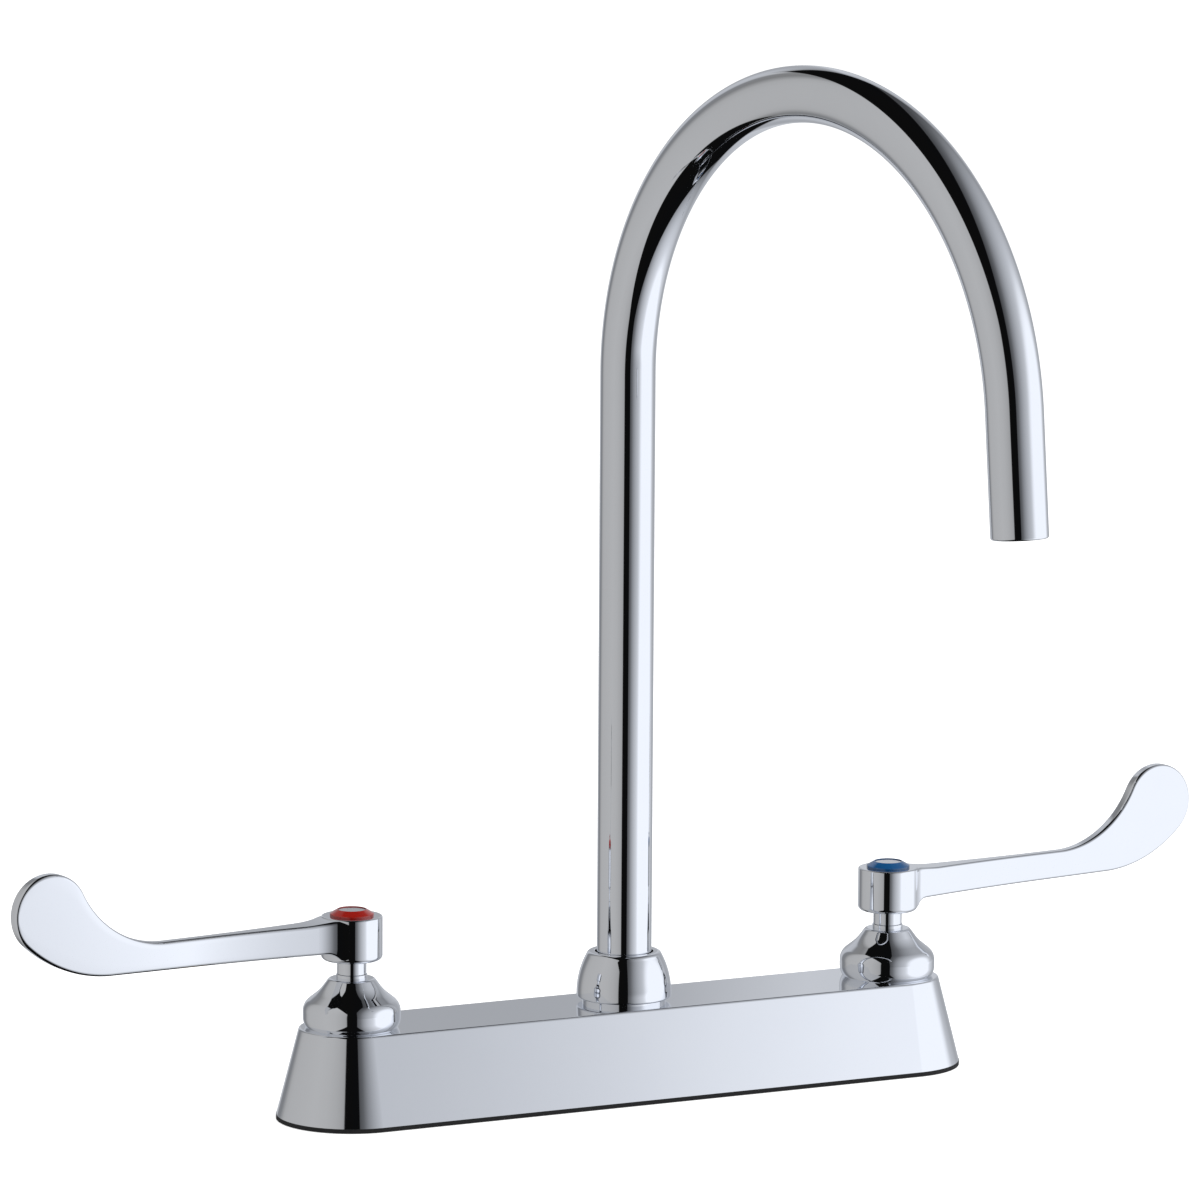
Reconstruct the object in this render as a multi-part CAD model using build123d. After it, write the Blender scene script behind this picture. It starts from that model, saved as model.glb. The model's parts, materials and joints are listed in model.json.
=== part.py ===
from build123d import *
from math import cos, pi, radians, sin, sqrt, tan
import os

# A deck-mount kitchen faucet with a swivelling gooseneck spout and two wrist-blade handles.
# Millimetres, +Z up. The origin is the centre of the mounting face, under the gasket.
# The user stands at -Y, the hot valve is at -X and the cold valve at +X.

# Layout
handle_centres = 203.2
spout_swing_angle = 10.1
handle_swing_angle = 6.4

# Gasket and deck cover
gasket_thickness = 1.5
gasket_overhang = 0.1
cover_height = 29.4
cover_top_depth = 35.3
cover_flare = 7.5
cover_wall = 2.5
cover_edge_round = 1.0
cover_boss_wall = 1.4
cover_boss_depth = 2.4

# Waterway casting
barrel_radius = 13.0
barrel_rise = 6.6
post_rise = 9.1
post_foot_height = 6.0
post_floor_height = 12.0
post_bore_radius = 9.5
barrel_bore_radius = 9.5
seat_height = 14.0
inlet_port_radius = 5.0
shank_socket_depth = 8.0
gallery_depth = 1.1
gallery_low = 19.0
gallery_high = 28.0
cross_tube_radius = 7.0
cross_tube_bore_radius = 4.5
cross_tube_height = 18.6

# Inlet shanks and their fixings
shank_radius = 10.48
shank_bore_radius = 6.5
shank_drop = 50.0
coupling_length = 14.0
shank_chamfer = 0.8
runout_width = 1.2
runout_depth = 0.9
counter_thickness = 12.0
washer_radius = 18.0
washer_thickness = 1.5
washer_hole_radius = 10.9
locknut_across_flats = 28.6
locknut_height = 6.0
locknut_crown = 1.2

# Bonnet, as turned on a lathe
bonnet_height = 16.7
bonnet_top_radius = 7.6
bonnet_top_round = 1.5
bonnet_steep_angle = 54.0
bonnet_waist_radius = 10.65
bonnet_waist_round = 15.0
bonnet_slope_angle = 38.7
bonnet_shoulder_round = 5.0
bonnet_radius = 16.35
bonnet_foot_rise = 3.5
bonnet_foot_radius = 15.2
bonnet_cavity_radius = 7.2
bonnet_top_wall = 2.3

# Valve cartridge
cartridge_flange_radius = 11.8
cartridge_flange_thickness = 2.0
cartridge_neck_radius = 6.8
cartridge_lift = 0.5
disc_bore_radius = 8.05
disc_bore_top = 28.8
window_width = 9.0
window_low = 23.6
window_high = 27.4
seat_seal_thickness = 2.6
seat_seal_hole_radius = 5.6
disc_thickness = 3.4
disc_radius = 8.0
disc_port_inner = 2.4
disc_port_outer = 5.4
disc_port_angle = 80.0
stop_rib_angle = 90.0
stop_rib_width_angle = 30.0
stop_rib_reach = 1.6
lever_travel_angle = 90.0
stop_margin_angle = 2.0

# Stem
stem_radius = 4.0
stem_collar_radius = 4.9
stem_flange_thickness = 3.0
stem_tang_width = 3.0
stem_tang_length = 11.0
stem_tang_depth = 1.5
spline_radius = 3.9
spline_tooth_depth = 0.35
spline_teeth = 16
spline_root_share = 0.3
spline_flank_share = 0.2
spline_length = 8.2
stem_tap_depth = 10.3
bush_radius = 5.2
bush_height = 1.4
bush_spigot_radius = 4.85

# Seals
seal_section = 1.7
seal_corner = 0.5
seal_pitch = 5.0

# Handle
hub_radius = 10.3
hub_height = 14.9
hub_lift = 6.2
hub_foot_round = 1.7
hub_top_round = 0.6
arm_bottom_rise = 3.5
arm_bottom_climb = 0.9
arm_top_drop = 1.2
neck_top_drop = 0.3
neck_reach = 20.0
neck_flare_radius = 6.0
neck_flare_drop = 2.65
neck_flare_tuck = 0.4
neck_fillet_radius = 9.0
neck_thickness = 8.5
blade_thickness = 4.4
blade_starts = 64.0
paddle_radius = 13.4
paddle_reach = 114.9
paddle_rise = 26.9
sweep_radius = 47.3
elbow_radius = 34.3
blade_edge_round = 1.1

# Handle screw and index button
socket_end_gap = 0.3
screw_head_radius = 3.6
screw_head_height = 2.2
screw_head_round = 0.7
screw_radius = 2.0
screw_length = 12.0
screw_slot_width = 1.0
screw_slot_depth = 1.1
button_pocket_radius = 6.3
button_pocket_depth = 3.7
button_radius = 7.4
button_rim = 0.7
button_rise = 2.15
button_lip = 0.3
button_spigot_depth = 1.2
button_spigot_wall = 1.0
cap_radius = 4.5
cap_thickness = 0.8
cap_recess = 0.15
cap_ledge = 1.1
cap_dome = 0.15

# Spout and its collar
spout_reach = 202.2
spring_height = 245.0
bend_shortfall_angle = 5.0
outlet_drop = 40.0
spout_radius = 9.3
spout_wall = 1.2
outlet_edge_round = 0.8
collar_radius = 16.1
collar_foot_round = 0.8
collar_straight = 1.3
collar_neck_radius = 12.8
collar_height = 17.3
collar_top_round = 1.2
collar_top_width = 1.6
collar_hole_gap = 0.55
seat_ring_radius = 14.2
seat_ring_height = 1.5
glide_washer_thickness = 0.8
adapter_flange_thickness = 2.0
adapter_flange_radius = 12.6
adapter_wall = 2.0
adapter_plug_length = 14.0
adapter_spigot_length = 13.4
outlet_socket_depth = 10.0
outlet_socket_widening = 0.2
regulator_length = 9.0
regulator_hole_radius = 1.6
regulator_hole_circle = 4.9
regulator_hole_count = 6

# Clearances
running_gap = 0.05
thread_gap = 0.05
fitting_gap = 0.1
cover_gap = 0.3
axial_gap = 0.1
swivel_axial_gap = 0.2
shank_hole_gap = 0.5

# How far a cutting tool runs past the face that it cuts
overrun = 1.0

# Heights that follow from the sizes above
cover_top = gasket_thickness + cover_height
barrel_rim = cover_top + barrel_rise
post_rim = cover_top + post_rise
bonnet_top = cover_top + bonnet_height
bush_top = bonnet_top + bush_height
clamp_height = barrel_rim + cartridge_flange_thickness
hub_bottom = bonnet_top + hub_lift
hub_top = hub_bottom + hub_height
collar_bottom = cover_top + seat_ring_height
collar_top = cover_top + collar_height
flange_bottom = post_rim + glide_washer_thickness
flange_top = flange_bottom + adapter_flange_thickness
fixed_disc_bottom = seat_height + seat_seal_thickness
moving_disc_bottom = fixed_disc_bottom + disc_thickness
moving_disc_top = moving_disc_bottom + disc_thickness
spline_top = hub_bottom + spline_length
screw_seat = hub_top - button_pocket_depth
cartridge_top = bonnet_top - bonnet_top_wall - axial_gap
spout_bore_radius = spout_radius - spout_wall
nut_bore_radius = barrel_radius + thread_gap
valve_offset = handle_centres / 2
cover_top_width = handle_centres + cover_top_depth


def rod(radius, low, high):
    """A plain upright cylinder between two heights."""
    return Pos(0, 0, low) * Cylinder(radius, high - low, align=(Align.CENTER, Align.CENTER, Align.MIN))


def sleeve(outer, inner, low, high):
    """An upright cylinder with a bore right through it."""
    return rod(outer, low, high) - rod(inner, low - overrun, high + overrun)


def turned(outline):
    """Revolve a closed outline of (radius, height) about the upright axis."""
    return revolve(Plane.XZ * make_face(outline), Axis.Z)


def turned_corners(*corners):
    """Revolve straight-sided corners of (radius, height) about the upright axis."""
    return turned(Polyline(*corners, close=True).edges())


def ring_sector(inner, outer, low, high, start, span):
    """Part of an upright ring: its wall swept through an angle from a start angle."""
    wall = Pos((inner + outer) / 2, (low + high) / 2) * Rectangle(outer - inner, high - low)
    return Rot(0, 0, start) * revolve(Plane.XZ * wall, Axis.Z, span)


def seal_ring(bore_radius, middle):
    """A seal in its groove, squeezed square against the bore, with its corners eased."""
    half = seal_section / 2
    inner = bore_radius - running_gap - seal_section
    outer = bore_radius - running_gap
    return turned_corners(
        (inner + seal_corner, middle - half),
        (outer - seal_corner, middle - half),
        (outer, middle - half + seal_corner),
        (outer, middle + half - seal_corner),
        (outer - seal_corner, middle + half),
        (inner + seal_corner, middle + half),
        (inner, middle + half - seal_corner),
        (inner, middle - half + seal_corner),
    )


def seal_groove(bore_radius, middle):
    """The room that a seal needs round the rod that carries it."""
    inner = bore_radius - 2 * running_gap - seal_section
    half = seal_section / 2 + fitting_gap
    return sleeve(bore_radius + overrun, inner, middle - half, middle + half)


def half_round_plan(width, depth, height):
    """The long plan outline with half-round ends, at one height."""
    return Pos(0, 0, height) * SlotOverall(width, depth)


def cover_block(inset, low, high):
    """The housing's flared block between two heights, drawn in by an inset all round."""
    def plan(height):
        grow = cover_flare * (cover_top - height) / cover_height - inset
        return half_round_plan(cover_top_width + 2 * grow, cover_top_depth + 2 * grow, height)

    return loft([plan(low), plan(high)])


def make_deck_cover():
    """The chrome housing: a flared shell, open below, with bossed holes for both barrels and the post."""
    block = cover_block(0, gasket_thickness, cover_top)
    block = fillet(block.faces().sort_by(Axis.Z)[-1].edges(), cover_edge_round)
    shell = block - cover_block(cover_wall, gasket_thickness, cover_top - cover_wall)
    ceiling = cover_top - cover_wall
    hole_radius = barrel_radius + cover_gap
    for offset in (-valve_offset, 0, valve_offset):
        boss = rod(hole_radius + cover_boss_wall, ceiling - cover_boss_depth, ceiling)
        shell += Pos(offset, 0) * boss
        shell -= Pos(offset, 0) * rod(hole_radius, gasket_thickness, cover_top + overrun)
    return shell


def make_base_gasket():
    """The sheet under the housing, with a hole for each shank."""
    grow = cover_flare + gasket_overhang
    plan = SlotOverall(cover_top_width + 2 * grow, cover_top_depth + 2 * grow)
    sheet = extrude(plan, gasket_thickness)
    for offset in (-valve_offset, valve_offset):
        sheet -= Pos(offset, 0) * rod(shank_radius + shank_hole_gap, -overrun, gasket_thickness + overrun)
    return sheet


def make_waterway():
    """The brass casting: two valve barrels joined through a cross tube to the spout post."""
    lying = Pos(0, 0, cross_tube_height) * Rot(0, 90, 0)
    casting = lying * Cylinder(cross_tube_radius, handle_centres)
    casting += rod(barrel_radius, post_foot_height, post_rim)
    for offset in (-valve_offset, valve_offset):
        casting += Pos(offset, 0) * rod(barrel_radius, gasket_thickness, barrel_rim)
    casting -= rod(post_bore_radius, post_floor_height, post_rim + overrun)
    for offset in (-valve_offset, valve_offset):
        bore = rod(barrel_bore_radius, seat_height, barrel_rim + overrun)
        bore += rod(barrel_bore_radius + gallery_depth, gallery_low, gallery_high)
        bore += rod(inlet_port_radius, gasket_thickness, seat_height + overrun)
        socket_top = gasket_thickness + shank_socket_depth
        bore += rod(shank_radius + thread_gap, gasket_thickness - overrun, socket_top)
        casting -= Pos(offset, 0) * bore
    return casting - lying * Cylinder(cross_tube_bore_radius, handle_centres - barrel_bore_radius)


def make_shank():
    """An inlet shank: a locknut stretch above a run-out groove, and the coupling's stretch below."""
    top = gasket_thickness + shank_socket_depth - axial_gap
    blank = chamfer(rod(shank_radius, -shank_drop, top).edges().group_by(Axis.Z)[0], shank_chamfer)
    groove_low = -shank_drop + shank_chamfer + coupling_length
    groove_high = groove_low + runout_width
    groove = sleeve(shank_radius + overrun, shank_radius - runout_depth, groove_low, groove_high)
    return blank - groove - rod(shank_bore_radius, -shank_drop - overrun, top + overrun)


def make_washer():
    """The flat steel washer under the counter."""
    top = -counter_thickness
    return sleeve(washer_radius, washer_hole_radius, top - washer_thickness, top)


def make_locknut():
    """A brass hex nut with crowned corners."""
    top = -counter_thickness - washer_thickness
    bottom = top - locknut_height
    corner_radius = locknut_across_flats / sqrt(3)
    hexagon = Pos(0, 0, bottom) * extrude(RegularPolygon(corner_radius, 6), locknut_height)
    crown_radius = corner_radius - 2 * locknut_crown
    crown = turned_corners(
        (0, bottom),
        (crown_radius, bottom),
        (corner_radius, bottom + locknut_crown),
        (corner_radius, top - locknut_crown),
        (crown_radius, top),
        (0, top),
    )
    return (hexagon & crown) - rod(shank_radius + thread_gap, bottom - overrun, top + overrun)


def make_bonnet():
    """The bell over each valve: a steep and a gentle slope over a round shoulder, bored for the cartridge."""
    steep = radians(bonnet_steep_angle)
    gentle = radians(bonnet_slope_angle)
    waist_height = bonnet_top - (bonnet_waist_radius - bonnet_top_radius) * tan(steep)
    shoulder_height = waist_height - (bonnet_radius - bonnet_waist_radius) * tan(gentle)
    foot_arc_top = (bonnet_radius, cover_top + bonnet_foot_rise)
    foot = (bonnet_foot_radius, cover_top)
    cavity_top = bonnet_top - bonnet_top_wall
    hole_radius = bush_spigot_radius + running_gap
    outline = [
        FilletPolyline(
            (hole_radius, bonnet_top),
            (bonnet_top_radius, bonnet_top),
            (bonnet_waist_radius, waist_height),
            (bonnet_radius, shoulder_height),
            foot_arc_top,
            radius=(bonnet_top_round, bonnet_waist_round, bonnet_shoulder_round),
        ),
        TangentArc(foot_arc_top, foot, tangent=(0, -1)),
        Polyline(
            foot,
            (nut_bore_radius, cover_top),
            (nut_bore_radius, clamp_height),
            (bonnet_cavity_radius, clamp_height),
            (bonnet_cavity_radius, cavity_top),
            (hole_radius, cavity_top),
            (hole_radius, bonnet_top),
        ),
    ]
    return turned(outline)


def make_stem_bush():
    """The bush that guides the stem in the bonnet's top, with a rim that shows."""
    spigot_bottom = bonnet_top - bonnet_top_wall
    bush = sleeve(bush_radius, stem_radius + running_gap, bonnet_top, bush_top)
    return bush + sleeve(bush_spigot_radius, stem_radius + running_gap, spigot_bottom, bonnet_top)


def make_cartridge_body():
    """The valve cartridge's brass body: flange on the barrel's rim, disc bore, windows and turn stop."""
    body = rod(barrel_bore_radius - running_gap, seat_height + cartridge_lift, barrel_rim)
    body += rod(cartridge_flange_radius, barrel_rim, clamp_height)
    body += rod(cartridge_neck_radius, clamp_height, cartridge_top)
    body -= rod(disc_bore_radius, seat_height, disc_bore_top)
    body -= rod(stem_radius + running_gap, seat_height, cartridge_top + overrun)
    body -= seal_groove(barrel_bore_radius, (disc_bore_top + barrel_rim) / 2)
    window_middle = (window_low + window_high) / 2
    window = Box(3 * barrel_bore_radius, window_width, window_high - window_low)
    body -= Pos(0, 0, window_middle) * window
    rib_inner = disc_bore_radius - stop_rib_reach
    rib_start = stop_rib_angle - stop_rib_width_angle / 2
    rib_low = disc_bore_top - axial_gap - stem_flange_thickness
    rib_outer = disc_bore_radius + running_gap
    return body + ring_sector(rib_inner, rib_outer, rib_low, disc_bore_top, rib_start, stop_rib_width_angle)


def make_seat_seal():
    """The rubber ring that lifts the discs against each other."""
    outer = disc_radius - fitting_gap
    return sleeve(outer, seat_seal_hole_radius, seat_height, fixed_disc_bottom)


def ported_disc(low, turned_by):
    """A ceramic disc with two opposite sector ports."""
    high = low + disc_thickness
    disc = rod(disc_radius, low, high)
    port_start = turned_by - disc_port_angle / 2
    port = ring_sector(
        disc_port_inner, disc_port_outer, low - overrun, high + overrun, port_start, disc_port_angle
    )
    return disc - port - Rot(0, 0, 180) * port


def tang(width, length, low, high):
    """The upright key across the stem's foot, or the slot that it drives."""
    return Pos(0, 0, (low + high) / 2) * Box(width, length, high - low)


def make_fixed_disc():
    """The lower ceramic disc, which stays put."""
    return ported_disc(fixed_disc_bottom, 0)


def make_moving_disc(lever_angle):
    """The upper ceramic disc, slotted for the stem's tang, with its ports crosswise when shut."""
    slot_width = stem_tang_width + 2 * fitting_gap
    slot_low = moving_disc_top - stem_tang_depth - axial_gap
    slot = tang(slot_width, 3 * disc_radius, slot_low, moving_disc_top + overrun)
    return ported_disc(moving_disc_bottom, lever_travel_angle - lever_angle) - slot


def toothed_outline(clearance):
    """The splined section: flat-topped teeth round a circle, grown by a clearance."""
    crest = spline_radius + clearance
    root = crest - spline_tooth_depth
    step = 2 * pi / spline_teeth
    corners = []
    crest_start = spline_root_share + spline_flank_share
    crest_end = 1 - spline_flank_share
    for tooth in range(spline_teeth):
        for share, radius in ((0, root), (spline_root_share, root), (crest_start, crest), (crest_end, crest)):
            angle = (tooth + share) * step
            corners.append((radius * cos(angle), radius * sin(angle)))
    return make_face(Polyline(*corners, close=True))


def make_stem(lever_angle, opening_turn):
    """The stem: tang, stopped flange, sealed shaft, visible collar and splined end, tapped for the screw.

    It is drawn with its handle along +X, so the fixed stop rib lies back by the lever's angle,
    and moves the other way as the lever makes its opening turn.
    """
    flange_high = disc_bore_top - axial_gap
    flange_low = flange_high - stem_flange_thickness
    stem = rod(disc_bore_radius - running_gap, flange_low, flange_high)
    notch_inner = disc_bore_radius - stop_rib_reach - fitting_gap
    notch_span = stop_rib_width_angle + lever_travel_angle + 2 * stop_margin_angle
    notch_middle = stop_rib_angle - lever_angle - opening_turn / 2
    notch_start = notch_middle - notch_span / 2
    notch_outer = disc_bore_radius + overrun
    stem -= ring_sector(
        notch_inner, notch_outer, flange_low - overrun, flange_high + overrun, notch_start, notch_span
    )
    stem += tang(stem_tang_width, stem_tang_length, moving_disc_top - stem_tang_depth, flange_low)
    stem += rod(stem_radius, flange_high, hub_bottom)
    stem += rod(stem_collar_radius, bush_top + axial_gap, hub_bottom)
    stem += Pos(0, 0, hub_bottom) * extrude(toothed_outline(0), spline_length)
    for middle in stem_seal_heights():
        stem -= seal_groove(stem_radius + running_gap, middle)
    return stem - rod(screw_radius + thread_gap, spline_top - stem_tap_depth, spline_top + overrun)


def stem_seal_heights():
    """The two seals sit one pitch apart, halfway up the shaft's sealed length."""
    middle = (disc_bore_top + cartridge_top) / 2
    return (middle - seal_pitch / 2, middle + seal_pitch / 2)


def make_stem_seals():
    """The stem's two seals."""
    rings = [seal_ring(stem_radius + running_gap, middle) for middle in stem_seal_heights()]
    return Compound(rings)


def make_cartridge_seal():
    """The seal between the cartridge body and its barrel."""
    return seal_ring(barrel_bore_radius, (disc_bore_top + barrel_rim) / 2)


def blade_side_outline():
    """The handle's side view: a level arm that sweeps up into a round paddle on tangent arcs."""
    top = hub_top - arm_top_drop
    neck_top = hub_top - neck_top_drop
    bottom_at_hub = hub_bottom + arm_bottom_rise
    bottom = bottom_at_hub + arm_bottom_climb
    paddle = Vector(paddle_reach, hub_bottom + paddle_rise)
    sweep_height = bottom + sweep_radius
    sweep_gap = sweep_radius - paddle_radius
    sweep = Vector(paddle.X - sqrt(sweep_gap**2 - (paddle.Y - sweep_height)**2), sweep_height)
    elbow_height = top + elbow_radius
    elbow_gap = elbow_radius + paddle_radius
    elbow = Vector(paddle.X - sqrt(elbow_gap**2 - (paddle.Y - elbow_height)**2), elbow_height)
    sweep_meets = sweep + (paddle - sweep) * (sweep_radius / sweep_gap)
    elbow_meets = elbow + (paddle - elbow) * (elbow_radius / elbow_gap)
    tip = paddle + Vector(paddle_radius, 0)
    crown = paddle + Vector(0, paddle_radius)
    sweep_start = Vector(sweep.X, bottom)
    elbow_end = Vector(elbow.X, top)
    neck_end = Vector(neck_reach, top)
    neck_start = Vector(hub_radius, neck_top)
    flare_run = sqrt(neck_flare_radius**2 - (neck_flare_radius - neck_flare_drop)**2)
    flare_low = Vector(hub_radius - neck_flare_tuck, bottom_at_hub - neck_flare_drop)
    flare_end = Vector(flare_low.X + flare_run, bottom_at_hub)
    return [
        Line((0, flare_low.Y), flare_low),
        TangentArc(flare_end, flare_low, tangent=(-1, 0)),
        Line(flare_end, sweep_start),
        TangentArc(sweep_start, sweep_meets, tangent=(1, 0)),
        ThreePointArc(sweep_meets, tip, crown),
        TangentArc(crown, elbow_meets, tangent=(-1, 0)),
        TangentArc(elbow_end, elbow_meets, tangent=(1, 0)),
        Line(elbow_end, neck_end),
        TangentArc(neck_end, neck_start, tangent=(-1, 0)),
        Line(neck_start, (0, neck_top)),
        Line((0, neck_top), (0, flare_low.Y)),
    ]


def blade_plan_outline():
    """The handle seen from above: flared from the hub on a fillet, thinning on a long arc."""
    half = blade_thickness / 2
    tip = paddle_reach + paddle_radius + overrun
    taper_radius = (blade_starts - neck_reach)**2 / (neck_thickness - blade_thickness)
    taper_centre = Vector(blade_starts, half + taper_radius)
    fillet_from_hub = hub_radius + neck_fillet_radius
    fillet_from_taper = taper_radius - neck_fillet_radius
    between = taper_centre.length
    along = (between**2 + fillet_from_hub**2 - fillet_from_taper**2) / (2 * between)
    across = sqrt(fillet_from_hub**2 - along**2)
    unit = taper_centre.normalized()
    fillet_centre = unit * along + Vector(unit.Y, -unit.X) * across
    on_hub = fillet_centre * (hub_radius / fillet_from_hub)
    on_taper = taper_centre + (fillet_centre - taper_centre) * (taper_radius / fillet_from_taper)
    fillet_middle = (on_hub + on_taper) * 0.5 - fillet_centre
    middle = fillet_centre + fillet_middle.normalized() * neck_fillet_radius
    slim = Vector(blade_starts, half)

    def mirrored(point):
        return Vector(point.X, -point.Y)

    return [
        Line((0, on_hub.Y), on_hub),
        ThreePointArc(on_hub, middle, on_taper),
        TangentArc(slim, on_taper, tangent=(-1, 0)),
        Line(slim, (tip, half)),
        Line((tip, half), (tip, -half)),
        Line((tip, -half), mirrored(slim)),
        TangentArc(mirrored(slim), mirrored(on_taper), tangent=(-1, 0)),
        ThreePointArc(mirrored(on_taper), mirrored(middle), mirrored(on_hub)),
        Line(mirrored(on_hub), (0, -on_hub.Y)),
        Line((0, -on_hub.Y), (0, on_hub.Y)),
    ]


def make_handle():
    """A wrist-blade handle along +X: hub and blade in one casting, with socket and button pocket."""
    side = extrude(Plane.XZ * make_face(blade_side_outline()), hub_radius, both=True)
    plan = Pos(0, 0, hub_bottom) * extrude(make_face(blade_plan_outline()), paddle_rise + 2 * paddle_radius)
    blade = side & plan
    rim = [edge for edge in blade.edges() if edge.center().X > hub_radius and abs(edge.center().Y) > 0.1]
    blade = fillet(rim, blade_edge_round)
    hub = rod(hub_radius, hub_bottom, hub_top)
    hub = fillet(hub.edges().group_by(Axis.Z)[0], hub_foot_round)
    hub = fillet(hub.edges().group_by(Axis.Z)[-1], hub_top_round)
    handle = hub + blade
    socket = Pos(0, 0, hub_bottom) * extrude(toothed_outline(fitting_gap), spline_length + socket_end_gap)
    handle -= socket
    handle -= rod(button_pocket_radius, screw_seat, hub_top + overrun)
    return handle - rod(screw_radius + fitting_gap, hub_bottom, hub_top)


def make_handle_screw():
    """The slotted pan-head screw that holds the handle on the stem."""
    head_top = screw_seat + screw_head_height
    screw = rod(screw_head_radius, screw_seat, head_top)
    screw = fillet(screw.edges().group_by(Axis.Z)[-1], screw_head_round)
    screw += rod(screw_radius, screw_seat - screw_length, screw_seat)
    slot = Box(3 * screw_head_radius, screw_slot_width, 2 * screw_slot_depth)
    return screw - Pos(0, 0, head_top) * slot


def make_index_ring():
    """The coloured ring: a conical face on a short rim, with a spigot down into the hub's pocket."""
    cap_seat = hub_top + button_rise - cap_recess - cap_thickness
    recess_radius = cap_radius + fitting_gap
    spigot = button_pocket_radius - fitting_gap
    spigot_inner = spigot - button_spigot_wall
    spigot_bottom = hub_top - button_spigot_depth
    return turned_corners(
        (spigot, hub_top),
        (button_radius, hub_top),
        (button_radius, hub_top + button_rim),
        (recess_radius + button_lip, hub_top + button_rise),
        (recess_radius, hub_top + button_rise),
        (recess_radius, cap_seat),
        (cap_radius - cap_ledge, cap_seat),
        (cap_radius - cap_ledge, hub_top + button_rim),
        (spigot_inner, hub_top),
        (spigot_inner, spigot_bottom),
        (spigot, spigot_bottom),
    )


def make_index_cap():
    """The plain silver cap in the ring's recess, faintly domed."""
    seat = hub_top + button_rise - cap_recess - cap_thickness
    rim = seat + cap_thickness - cap_dome
    top = seat + cap_thickness
    outline = [
        Line((0, seat), (cap_radius, seat)),
        Line((cap_radius, seat), (cap_radius, rim)),
        TangentArc((0, top), (cap_radius, rim), tangent=(1, 0)),
        Line((0, top), (0, seat)),
    ]
    return turned(outline)


def make_seat_ring():
    """The thin ring that keeps the collar just off the cover."""
    return sleeve(seat_ring_radius, nut_bore_radius, cover_top, collar_bottom)


def make_collar():
    """The bell nut at the spout's foot, which traps the adapter's flange."""
    crown_start = Vector(collar_radius, collar_bottom + collar_straight)
    crown_end = Vector(collar_neck_radius, collar_top - collar_top_round)
    round_end = Vector(collar_neck_radius - collar_top_width, collar_top)
    foot_arc_top = (collar_radius, collar_bottom + collar_foot_round)
    foot = (collar_radius - collar_foot_round, collar_bottom)
    hole_radius = spout_radius + collar_hole_gap
    shoulder = flange_top + swivel_axial_gap
    outline = [
        TangentArc(crown_start, crown_end, tangent=(0, 1)),
        TangentArc(round_end, crown_end, tangent=(1, 0)),
        Polyline(
            round_end,
            (hole_radius, collar_top),
            (hole_radius, shoulder),
            (nut_bore_radius, shoulder),
            (nut_bore_radius, collar_bottom),
            foot,
        ),
        TangentArc(foot_arc_top, foot, tangent=(0, -1)),
        Line(foot_arc_top, crown_start),
    ]
    return turned(outline)


def make_glide_washer():
    """The low-friction washer on the post's rim, under the adapter's flange."""
    return sleeve(adapter_flange_radius, post_bore_radius + running_gap, post_rim, flange_bottom)


def adapter_seal_heights():
    """The two seals share the spigot's length evenly."""
    middle = post_rim - adapter_spigot_length / 2
    return (middle - seal_pitch / 2, middle + seal_pitch / 2)


def make_spout_adapter():
    """The brass adapter: a plug in the tube, a flange under the collar and a sealed spigot in the post."""
    plug_radius = spout_bore_radius - running_gap
    adapter = rod(plug_radius, flange_top, flange_top + adapter_plug_length)
    adapter += rod(adapter_flange_radius, flange_bottom, flange_top)
    adapter += rod(post_bore_radius - running_gap, post_rim - adapter_spigot_length, flange_bottom)
    for middle in adapter_seal_heights():
        adapter -= seal_groove(post_bore_radius, middle)
    bore = plug_radius - adapter_wall
    return adapter - rod(bore, 0, spring_height)


def make_spout_seals():
    """The two seals round the adapter's spigot."""
    return Compound([seal_ring(post_bore_radius, middle) for middle in adapter_seal_heights()])


def spout_path():
    """The tube's centre line in its own plane: riser, bend and straight outlet, as (reach, height)."""
    bend = spout_reach / 2
    lean = radians(bend_shortfall_angle)
    foot = Vector(0, flange_top)
    spring = Vector(0, spring_height)
    crest = Vector(bend, spring_height + bend)
    bend_end = Vector(bend + bend * cos(lean), spring_height + bend * sin(lean))
    mouth = bend_end + Vector(sin(lean), -cos(lean)) * outlet_drop
    return foot, spring, crest, bend_end, mouth


def at_outlet():
    """The outlet's place, with +Z looking back up into the tube."""
    mouth = spout_path()[-1]
    return Pos(mouth.X, 0, mouth.Y) * Rot(0, -bend_shortfall_angle, 0)


def make_spout_tube():
    """The gooseneck tube, swept along riser, bend and outlet."""
    foot, spring, crest, bend_end, mouth = spout_path()
    path = Plane.XZ * (Line(foot, spring) + ThreePointArc(spring, crest, bend_end) + Line(bend_end, mouth))
    start = Pos(0, 0, flange_top)
    tube = sweep(start * Circle(spout_radius), path=path)
    tube -= sweep(start * Circle(spout_bore_radius), path=path)
    tube -= at_outlet() * rod(spout_bore_radius + outlet_socket_widening, -overrun, outlet_socket_depth)
    mouth_edges = tube.edges().filter_by(GeomType.CIRCLE).sort_by_distance((mouth.X, 0, mouth.Y))[:2]
    return fillet(mouth_edges.sort_by(SortBy.RADIUS)[-1], outlet_edge_round)


def make_flow_regulator():
    """The insert up inside the outlet, with a ring of holes round one in the middle."""
    low = outlet_socket_depth
    high = low + regulator_length
    insert = rod(spout_bore_radius - running_gap, low, high)
    centres = [(0, 0)]
    for step in range(regulator_hole_count):
        angle = 2 * pi * step / regulator_hole_count
        centres.append((regulator_hole_circle * cos(angle), regulator_hole_circle * sin(angle)))
    for x, y in centres:
        insert -= Pos(x, y) * rod(regulator_hole_radius, low - overrun, high + overrun)
    return at_outlet() * insert


def write(name, shape):
    """Write one named piece."""
    shape.label = name
    export_step(shape, f"parts/{name}.step")


os.makedirs("parts", exist_ok=True)

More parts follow.
